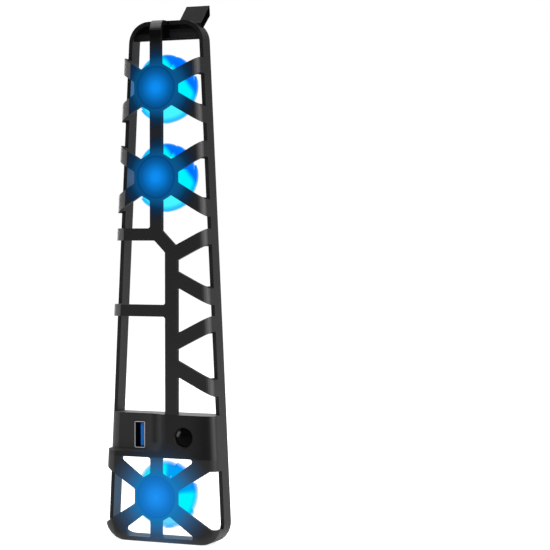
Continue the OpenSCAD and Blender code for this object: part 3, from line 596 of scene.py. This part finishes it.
def board(name, mask_colour, trace_colour):
    """Circuit board: solder mask with faint traces under it."""
    finish = new_finish(name)
    tree, shader = shader_of(finish)
    upright = add_node(tree, "ShaderNodeMapping", inputs={"Rotation": (math.radians(90), 0, 0)})
    traces = add_node(tree, "ShaderNodeTexBrick", {"offset": 0.37, "squash": 0.7},
                      {"Scale": 420.0, "Mortar Size": 0.03, "Mortar Smooth": 0.2})
    join(tree, object_place(tree), upright.inputs["Vector"])
    join(tree, upright.outputs["Vector"], traces.inputs["Vector"])
    grain = place_group(tree, "grain", {"Scale": 3000.0})
    edges = place_group(tree, "edges", {"Radius": BOARD_EDGE})
    darker = tuple(BOARD_TONE * value for value in mask_colour)
    join(tree, mix_colour(tree, grain["Tone"], mask_colour, darker), shader.inputs["Base Color"])
    paint(tree, shader, traces.outputs["Fac"], trace_colour)
    join(tree, spread(tree, grain["Tone"], *BOARD_ROUGH), shader.inputs["Roughness"])
    bump(tree, shader, traces.outputs["Fac"], TRACE_BUMP, TRACE_DEPTH, edges["Normal"])
    return finish


# Masks of the frame's satin skin and of its painted sheen

def side_gap(tree, place):
    """Distance from the frame's outer side, measured sideways."""
    half = math_node(tree, "SUBTRACT", BASE_HALF, product(tree, place["Z"], SIDE_TAPER))
    return math_node(tree, "SUBTRACT", half, math_node(tree, "ABSOLUTE", place["X"]))


def side_bends(tree, turn, place):
    """Mask of the bends down to the rails, weaker from the pod's top down."""
    level = ramp_node(tree, fade(tree, turn["Right"], LEFT_TO_RIGHT), greys(BEND_BY_TURN))
    outer = fade(tree, side_gap(tree, place), BEND_REACH)
    ahead = fade(tree, turn["Front"], BEND_FACES)
    height = spread(tree, fade(tree, place["Z"], LOW_BEND_END), LOW_BEND, 1.0)
    return product(tree, level, outer, ahead, height)


def top_bend(tree, turn, place):
    """Mask of the bend at the middle of the frame's top."""
    rise = fade(tree, place["Z"], TOP_BEND_RISE)
    middle = fade(tree, math_node(tree, "ABSOLUTE", place["X"]), TOP_BEND_HALF)
    return product(tree, fade(tree, turn["Up"], TOP_BEND_FACES), rise, middle)


def shelves(tree, turn, place, near):
    """Mask of the level faces away from the lamps, strongest on the pod's top."""
    level = product(tree, fade(tree, turn["Up"], SHELF_FACES), rest(tree, near))
    return product(tree, level, spread(tree, fade(tree, place["Z"], POD_SHELF_RISE), *SHELF_LEVEL))


def bottom_edge(tree, turn, place):
    """Mask of the underside of the frame's bottom edge."""
    return product(tree, fade(tree, turn["Up"], UNDER_FACES), fade(tree, place["Z"], UNDER_RISE), UNDER_LEVEL)


def satin_and_painted_sheen(tree, turn, place, near):
    """Mask of the whole satin skin and of its painted sheen."""
    return largest(tree, side_bends(tree, turn, place), top_bend(tree, turn, place),
                   shelves(tree, turn, place, near), bottom_edge(tree, turn, place))


# Lamp light on the frame

def glow_share(tree, fan):
    """Share of the glow's reach at a point of the frame, from a centre right of the axis."""
    spot = place_round_fan(tree, fan)
    across = math_node(tree, "SUBTRACT", spot["Across"], GLOW_SHIFT)
    away = length(tree, across, product(tree, spot["Up"], GLOW_FLATTEN))
    return math_node(tree, "DIVIDE", away, GLOW_END * MM, clamp=True)


def by_distance(stops):
    """Ramp stops of distance and level as shares of the glow's reach."""
    return [(distance / GLOW_END, grey(level)) for distance, level in stops]


def lamp_glow(tree, place):
    """Colour of the lamp light round the hubs, and how near the lamps a point is."""
    on_pod = spread(tree, fade(tree, place["Z"], POD_SHADE_START), 1.0, GLOW_ON_POD)
    reaches = largest(tree, on_pod, fade(tree, place["Z"], POD_SHADE_END))
    glow = BLACK
    near = 0.0
    for fan in FANS:
        share = glow_share(tree, fan)
        level = product(tree, ramp_node(tree, share, by_distance(GLOW_LEVEL[fan])), reaches)
        glow = mix_colour(tree, 1.0, glow, tinted(tree, level, GLOW_TINT[fan]), "ADD")
        near = largest(tree, near, ramp_node(tree, share, by_distance(GLOW_NEAR[fan])))
    return glow, near


def spill_light(tree, fan, turn):
    """Lamp light on the faces that look towards a fan's axis."""
    spot = place_round_fan(tree, fan)
    away = total(tree, product(tree, turn["Right"], spot["Across"]), product(tree, turn["Up"], spot["Up"]))
    facing = math_node(tree, "DIVIDE", away, product(tree, spot["Distance"], -1.0), clamp=True)
    past_hub = fade(tree, spot["Distance"], SPILL_START)
    level = product(tree, facing, past_hub, fade(tree, spot["Distance"], SPILL_END[fan]))
    return tinted(tree, level, SPILL_TINT[fan])


# Gloss of the frame

def button_well(tree, turn):
    """Mask of the wall of the hole that the button sits in."""
    distance = place_round(tree, "power_button")["Distance"]
    radius = radius_of("power_button")
    within = fade(tree, distance, [radius + gap for gap in WELL_GAP])
    level = math_node(tree, "ABSOLUTE", turn["Front"])
    return product(tree, within, fade(tree, level, WELL_FACES))


def pod_band(tree, place):
    """Mask of the pod's height."""
    return product(tree, fade(tree, place["Z"], POD_FLOOR), fade(tree, place["Z"], POD_ROOF))


def spine_top(tree, place, ahead):
    """Mask of the spine's front below the top of the frame."""
    offset = math_node(tree, "SUBTRACT", place["X"], axis_of("top_hub_cap")[0])
    on_spine = fade(tree, math_node(tree, "ABSOLUTE", offset), SPINE_HALF)
    return product(tree, ahead, on_spine, fade(tree, place["Z"], SPINE_TOP_RISE))


def inner_sides(tree, turn, place, band):
    """Mask of the faces inside the frame that look right, outside the pod."""
    looks = fade(tree, turn["Right"], INNER_FACES)
    within = fade(tree, side_gap(tree, place), INNER_GAP)
    return product(tree, looks, within, rest(tree, band), INNER_LOSS)


def gloss_by_height(tree, turn, place, top):
    """Gloss that is left towards the top; the left rail's inner face keeps most of it."""
    share = spread(tree, fade(tree, place["Z"], GLOSS_RISE), 1.0, TOP_GLOSS)
    rail = product(tree, fade(tree, turn["Right"], RAIL_FACES), fade(tree, place["X"], LEFT_RAIL), RAIL_GLOSS)
    return product(tree, largest(tree, share, rail), spread(tree, top, 1.0, SPINE_TOP_GLOSS))


def gloss_on_pod(tree, turn, place, band, lip):
    """Gloss that is left on the pod's front: less on its lip and towards its right end."""
    right = product(tree, fade(tree, place["X"], POD_RIGHT), POD_RIGHT_LOSS)
    loss = total(tree, product(tree, lip, LIP_LOSS), right)
    return rest(tree, product(tree, band, fade(tree, turn["Front"], POD_FACES), loss))


def gloss_on_sunk_face(tree, place, band, lip, ahead):
    """More gloss on the sunk face, growing to the right as far as its dull bend."""
    gain = spread(tree, fade(tree, place["X"], SUNK_SPAN), *SUNK_GAIN)
    bend = product(tree, fade(tree, place["X"], SUNK_BEND_LEFT), fade(tree, place["X"], SUNK_BEND_RIGHT),
                   fade(tree, place["Z"], SUNK_BEND_RISE), SUNK_BEND_LOSS)
    gain = math_node(tree, "SUBTRACT", gain, bend)
    return total(tree, 1.0, product(tree, band, rest(tree, lip), ahead, gain))


def frame_gloss(tree, turn, place, near):
    """Gloss of the frame, and a mask of its painted shade."""
    ahead = fade(tree, turn["Front"], FRONT_FACES)
    lip = fade(tree, place["Y"], LIP_DEPTH)
    band = pod_band(tree, place)
    top = spine_top(tree, place, ahead)
    inner = inner_sides(tree, turn, place, band)
    # Painted shade on the wall of the button's hole
    well = product(tree, button_well(tree, turn), WELL_LOSS)
    behind = product(tree, fade(tree, place["Y"], RECESS_DEPTH), ahead)
    recess = fade(tree, place["Z"], TOP_RECESS)
    sunk = product(tree, behind, spread(tree, recess, *RECESS_LOSS))
    side = spread(tree, fade(tree, turn["Right"], SIDE_FACES), 1.0, SIDE_GLOSS)
    gloss = product(tree, FRAME_GLOSS, rest(tree, near), gloss_by_height(tree, turn, place, top), side,
                    gloss_on_pod(tree, turn, place, band, lip),
                    gloss_on_sunk_face(tree, place, band, lip, ahead),
                    rest(tree, sunk), rest(tree, inner), rest(tree, well))
    # Painted shade: the inner sides, the recess under the top, the button's well and the spine's top
    return gloss, largest(tree, inner, product(tree, behind, recess), well, top)


# Finishes of the pieces

def frame_plastic():
    """Black grained plastic of the frame: satin and a painted sheen on its bends, painted shade in its
    recesses and on its inner sides, lit blue round each hub.
    """
    finish = moulded("frame_plastic", dark=(0.0065, 0.0065, 0.007), light=(0.0095, 0.0095, 0.01), dust=0.04,
                     specular=LIT_SPECULAR)
    tree, shader = shader_of(finish)
    turn = place_group(tree, "turn")
    place = frame_place(tree)
    glow, near = lamp_glow(tree, place)
    bend = satin_and_painted_sheen(tree, turn, place, near)
    fore = product(tree, rest(tree, bend), fade(tree, place["Y"], GLOW_DEPTH))
    lit = tinted(tree, fore, glow)
    open_faces = rest(tree, button_well(tree, turn))
    for fan in FANS:
        lit = mix_colour(tree, open_faces, lit, spill_light(tree, fan, turn), "ADD")
    shine(tree, shader, lit)
    near = product(tree, near, fore)
    gloss, painted_shade_mask = frame_gloss(tree, turn, place, near)
    # Painted shade: black over the base colour under the lamp glow and on the shaded faces
    shade = largest(tree, product(tree, near, LIT_SHADE), product(tree, painted_shade_mask, PAINTED_SHADE_LEVEL))
    paint(tree, shader, shade, BLACK)
    # Painted sheen: a paler base colour where the satin skin lies
    paint(tree, shader, bend, BEND_PAINTED_SHEEN)
    satin(tree, shader, math_node(tree, "ADD", gloss, bend, clamp=True))
    return finish


def hook_plastic():
    """Black plastic of the hook, its side dull and darkened with painted shade."""
    finish = moulded("hook_plastic", dark=(0.006, 0.006, 0.0065), light=(0.009, 0.009, 0.0095), dust=0.05,
                     specular=0.0)
    tree, shader = shader_of(finish)
    side = fade(tree, place_group(tree, "turn")["Right"], HOOK_SIDE_FACES)
    # Painted shade on the side
    paint(tree, shader, side, HOOK_SIDE_PAINTED_SHADE)
    satin(tree, shader, spread(tree, side, HOOK_GLOSS, 0.0))
    return finish


def button_plastic():
    """Black plastic of the button: dull towards its top, with a painted glint and extra gloss in one spot
    near its rim.
    """
    finish = moulded("button_plastic", dark=grey(0.001), light=grey(0.002), rough=(0.3, 0.4), dust=0.02,
                     specular=0.008)
    tree, shader = shader_of(finish)
    place = place_round(tree, "power_button")
    radius = radius_of("power_button")
    turned = math_node(tree, "DIVIDE", toward(tree, place, GLINT_ANGLE), place["Distance"])
    ring = fade(tree, place["Distance"], [share * radius for share in GLINT_RING])
    glint = product(tree, fade(tree, turned, GLINT_TURN), ring)
    gloss = product(tree, fade(tree, place["Up"], BUTTON_FADE), BUTTON_GLOSS)
    # Painted glint: a paler spot near the rim
    paint(tree, shader, glint, PAINTED_GLINT_COLOUR)
    satin(tree, shader, math_node(tree, "ADD", gloss, glint, clamp=True))
    return finish


def lit_cap(fan):
    """Smoked blue cap over a hub, glowing with painted lamp light: bright middle, darker rim."""
    finish = moulded("lit_cap_" + fan, dark=(0.0, 0.01, 0.024), light=(0.0, 0.014, 0.03), rough=(0.35, 0.45),
                     dust=0.0, edge=0.0, specular=LIT_SPECULAR)
    tree, shader = shader_of(finish)
    distance = place_round_fan(tree, fan)["Distance"]
    reach = math_node(tree, "DIVIDE", distance, CAP_REACH[fan], clamp=True)
    share = math_node(tree, "DIVIDE", distance, radius_of(fan + "_hub_cap"), clamp=True)
    glow = ramp_node(tree, reach, greys(CAP_GLOW[fan]))
    rim = ramp_node(tree, share, greys(CAP_RIM[fan]))
    shine(tree, shader, tinted(tree, product(tree, glow, rim), CAP_TINT[fan]))
    return finish


def blade_front(tree, fan, place, share):
    """Colour of the lamp light in the blades, seen from the front."""
    reach = place["Distance"] if SWEEP_IS_WEDGE[fan] else radius_of(fan + "_impeller")
    sweep = math_node(tree, "DIVIDE", toward(tree, place, SWEEP_ANGLE[fan]), reach)
    deep = ramp_node(tree, sweep, greys(SWEEP_LEVEL[fan]), "EASE")
    down = fade(tree, math_node(tree, "DIVIDE", place["Up"], place["Distance"]), LOW_TURN)
    body = mix_colour(tree, deep, mix_colour(tree, down, BLADE_SIDE, BLADE_LOW[fan]), SWEEP_COLOUR[fan])
    outer = mix_colour(tree, OUTER_SHARE, body, BLADE_OUTER)
    lit = mix_colour(tree, ramp_node(tree, share, greys(OUTER_LEVEL)), body, outer)
    return mix_colour(tree, ramp_node(tree, share, greys(RIM_LEVEL)), lit, BLADE_RIM)


def blade_rear(tree, share):
    """Colour of the lamp light on the rear of a fan wheel."""
    level = spread(tree, fade(tree, frame_place(tree)["Y"], REAR_DEPTH), *REAR_LEVEL)
    return tinted(tree, level, ramp_node(tree, share, REAR_TONES))


def lit_blades(fan):
    """Clear blue blades lit by the lamps, paler and thinner at the tips."""
    finish = moulded("lit_blades_" + fan, dark=(0.0, 0.01, 0.02), light=(0.0, 0.014, 0.03), rough=(0.2, 0.3),
                     dust=0.0, edge=0.0, specular=LIT_SPECULAR)
    tree, shader = shader_of(finish)
    place = place_round_fan(tree, fan)
    share = math_node(tree, "DIVIDE", place["Distance"], radius_of(fan + "_impeller"), clamp=True)
    behind = fade(tree, place_group(tree, "turn")["Front"], REAR_FACES)
    front = blade_front(tree, fan, place, share)
    shine(tree, shader, mix_colour(tree, behind, front, blade_rear(tree, share)))
    join(tree, ramp_node(tree, share, greys(BLADE_SOLID[fan])), shader.inputs["Alpha"])
    return finish


def lamp():
    """Clear lamp bodies with their light on."""
    finish = moulded("lamp", dark=(0.3, 0.5, 0.7), light=(0.35, 0.55, 0.75), rough=(0.1, 0.2), dust=0.0)
    _, shader = shader_of(finish)
    shader.inputs["Emission Color"].default_value = (*LAMP_LIGHT, 1)
    shader.inputs["Emission Strength"].default_value = 1.0
    return finish


def blue_insulator():
    """Blue moulded tongues of the socket and the plug."""
    return moulded("blue_insulator", dark=(0.002, 0.12, 0.46), light=(0.004, 0.15, 0.54), rough=(0.35, 0.45),
                   dust=0.0, radius=0.1 * MM, depth=0.01 * MM, specular=0.15)


def chip_black():
    """Black moulded chip, connectors and switch body."""
    return moulded("chip_black", dark=grey(0.02), light=grey(0.03), radius=0.1 * MM)


def stem_white():
    """White moulded switch stem and shaft clips."""
    return moulded("stem_white", dark=(0.7, 0.69, 0.66), light=(0.78, 0.77, 0.74), radius=0.15 * MM)


def lead_sheath():
    """Soft black sheath of the inner leads."""
    return moulded("lead_sheath", dark=grey(0.012), light=grey(0.02), rough=(0.5, 0.65), radius=0.2 * MM)


def magnet():
    """Dull bonded magnet rings."""
    return moulded("magnet", dark=(0.04, 0.036, 0.033), light=(0.06, 0.055, 0.05), rough=(0.55, 0.7),
                   radius=0.1 * MM)


def plated_shell():
    """Bright plated sheet of the plug."""
    return metal("plated_shell", dark=(0.62, 0.62, 0.64), light=(0.75, 0.75, 0.76))


def socket_plate():
    """Plated shell of the socket, darkened with painted shade behind its front edge."""
    finish = metal("socket_plate", dark=(0.3, 0.3, 0.31), light=(0.38, 0.38, 0.39))
    tree, shader = shader_of(finish)
    # Painted shade inside the shell
    paint(tree, shader, fade(tree, frame_place(tree)["Y"], SHELL_MOUTH), SHELL_INSIDE_PAINTED_SHADE)
    return finish


def gilt_contacts():
    """Gilt contacts of the socket and the plug."""
    return metal("gilt_contacts", dark=(0.8, 0.55, 0.2), light=(0.9, 0.66, 0.3))


def screw_steel():
    """Zinc plated screws of the rear cover."""
    return metal("screw_steel", dark=(0.4, 0.4, 0.42), light=(0.52, 0.52, 0.54))


def bearing_bronze():
    """Sintered bronze of the sleeve bearings."""
    return metal("bearing_bronze", dark=(0.5, 0.34, 0.15), light=(0.62, 0.44, 0.22), rough=(0.4, 0.55))


def core_steel():
    """Steel of the stator cores and the rotor yokes."""
    return metal("core_steel", dark=(0.3, 0.3, 0.31), light=(0.4, 0.4, 0.41), rough=(0.35, 0.5))


def shaft_steel():
    """Ground steel of the rotor shafts."""
    return metal("shaft_steel", dark=(0.55, 0.55, 0.57), light=(0.66, 0.66, 0.68))


def board_green():
    """Green boards of the port and the controls."""
    return board("board_green", mask_colour=(0.015, 0.12, 0.05), trace_colour=(0.03, 0.2, 0.09))


def board_white():
    """White boards behind the fans."""
    return board("board_white", mask_colour=(0.75, 0.75, 0.73), trace_colour=(0.6, 0.6, 0.58))


def copper():
    """Enamelled wire laid in turns."""
    finish = new_finish("copper")
    tree, shader = shader_of(finish)
    wave = add_node(tree, "ShaderNodeTexWave", {"wave_type": "RINGS", "rings_direction": "Y"},
                    {"Scale": 2200.0, "Distortion": 0.4})
    join(tree, object_place(tree), wave.inputs["Vector"])
    turns = wave.outputs["Fac"]
    join(tree, mix_colour(tree, turns, WIRE_DARK, WIRE_LIGHT), shader.inputs["Base Color"])
    join(tree, spread(tree, turns, *WIRE_ROUGH), shader.inputs["Roughness"])
    bump(tree, shader, turns, WIRE_BUMP, WIRE_DEPTH)
    shader.inputs["Metallic"].default_value = 0.9
    return finish


# Dressing

OWN_FINISH = {"top_hook": "hook_plastic", "socket_shell": "socket_plate"}
FAN_SLOTS = ("lit_cap", "lit_blades")


def make_finishes():
    """Every slot of the part with its finish; lit pieces have one per fan."""
    finishes = {
        "frame_plastic": frame_plastic(),
        "hook_plastic": hook_plastic(),
        "button_plastic": button_plastic(),
        "blue_insulator": blue_insulator(),
        "chip_black": chip_black(),
        "stem_white": stem_white(),
        "lead_sheath": lead_sheath(),
        "magnet": magnet(),
        "plated_shell": plated_shell(),
        "socket_plate": socket_plate(),
        "gilt_contacts": gilt_contacts(),
        "screw_steel": screw_steel(),
        "bearing_bronze": bearing_bronze(),
        "core_steel": core_steel(),
        "shaft_steel": shaft_steel(),
        "board_green": board_green(),
        "board_white": board_white(),
        "copper": copper(),
        "lamp": lamp(),
    }
    for fan in FANS:
        finishes["lit_cap_" + fan] = lit_cap(fan)
        finishes["lit_blades_" + fan] = lit_blades(fan)
    return finishes


def dress_nodes():
    """Gives every CAD node the finish of its slot."""
    finishes = make_finishes()
    for part in frame["record"]["subparts"]:
        name = part["node"]
        slot = part["material_slot"]
        if slot in FAN_SLOTS:
            slot = slot + "_" + name.split("_")[0]
        slot = OWN_FINISH.get(name, slot)
        mesh = frame["nodes"][name].data
        mesh.materials.clear()
        mesh.materials.append(finishes[slot])


# Studio

def seen_directly(tree):
    """1 for rays that should meet the plain white studio: camera, glossy and transmission rays."""
    path = add_node(tree, "ShaderNodeLightPath").outputs
    return largest(tree, path["Is Camera Ray"], path["Is Glossy Ray"], path["Is Transmission Ray"])


def make_floor():
    """Pale floor that runs out of sight and keeps the part's shadow."""
    mesh = bpy.data.meshes.new("studio_floor")
    corners = [(-FLOOR_HALF, -FLOOR_HALF, 0), (FLOOR_HALF, -FLOOR_HALF, 0),
               (FLOOR_HALF, FLOOR_HALF, 0), (-FLOOR_HALF, FLOOR_HALF, 0)]
    mesh.from_pydata(corners, [], [(0, 1, 2, 3)])
    floor = bpy.data.objects.new("studio_floor", mesh)
    bpy.context.scene.collection.objects.link(floor)
    finish = new_finish("studio_floor")
    tree, shader = shader_of(finish)
    shader.inputs["Base Color"].default_value = (*grey(FLOOR_COLOUR), 1)
    shader.inputs["Roughness"].default_value = 0.9
    shader.inputs["Specular IOR Level"].default_value = 0.0
    shine(tree, shader, tinted(tree, seen_directly(tree), grey(FLOOR_SEEN)))
    mesh.materials.append(finish)


def make_world():
    """White surround for the eye and a softer one for the light."""
    world = bpy.data.worlds.new("studio")
    world.use_nodes = True
    tree = world.node_tree
    background = tree.nodes["Background"]
    background.inputs["Strength"].default_value = 1.0
    level = mix_colour(tree, seen_directly(tree), SURROUND_LIGHT, SURROUND_SEEN)
    join(tree, level, background.inputs["Color"])
    bpy.context.scene.world = world


def add_softbox(name, place, size, power):
    """A rectangular area light at a place, turned to the part."""
    light = bpy.data.lights.new(name, "AREA")
    light.shape = "RECTANGLE"
    light.size, light.size_y = size
    light.energy = power
    softbox = bpy.data.objects.new(name, light)
    softbox.location = place
    softbox.rotation_euler = (LIGHT_TARGET - Vector(place)).to_track_quat("-Z", "Y").to_euler()
    bpy.context.scene.collection.objects.link(softbox)


def make_lights():
    """Soft light from the left, the right and above, little from the front."""
    add_softbox("left_softbox", place=(-1.0, 0.45, 0.3), size=(0.6, 1.1), power=9)
    add_softbox("right_softbox", place=(1.0, -0.5, 0.3), size=(0.35, 1.1), power=12)
    add_softbox("top_softbox", place=(0, -0.1, 1.3), size=(0.9, 0.9), power=10)


def make_camera():
    """Camera that puts the aim point on its pixel of the picture."""
    data = bpy.data.cameras.new("camera")
    data.sensor_width = SENSOR
    data.lens = FOCAL_PIXELS * SENSOR / IMAGE_SIDE
    camera = bpy.data.objects.new("camera", data)
    back = Vector((math.sin(VIEW_AZIMUTH), -math.cos(VIEW_AZIMUTH), 0))
    half = IMAGE_SIDE / 2
    yaw = math.atan((AIM_PIXEL[0] - half) / FOCAL_PIXELS)
    pitch = math.atan((half - AIM_PIXEL[1]) / FOCAL_PIXELS)
    look = (-back).to_track_quat("-Z", "Y").to_matrix()
    turn = Matrix.Rotation(yaw, 3, "Z")
    tip = Matrix.Rotation(-pitch, 3, "X")
    camera.matrix_world = Matrix.Translation(AIM_POINT + back * VIEW_DISTANCE) @ (turn @ look @ tip).to_4x4()
    bpy.context.scene.collection.objects.link(camera)
    bpy.context.scene.camera = camera


bpy.context.scene.view_settings.view_transform = "Standard"
make_camera()
dress_nodes()
make_floor()
make_world()
make_lights()
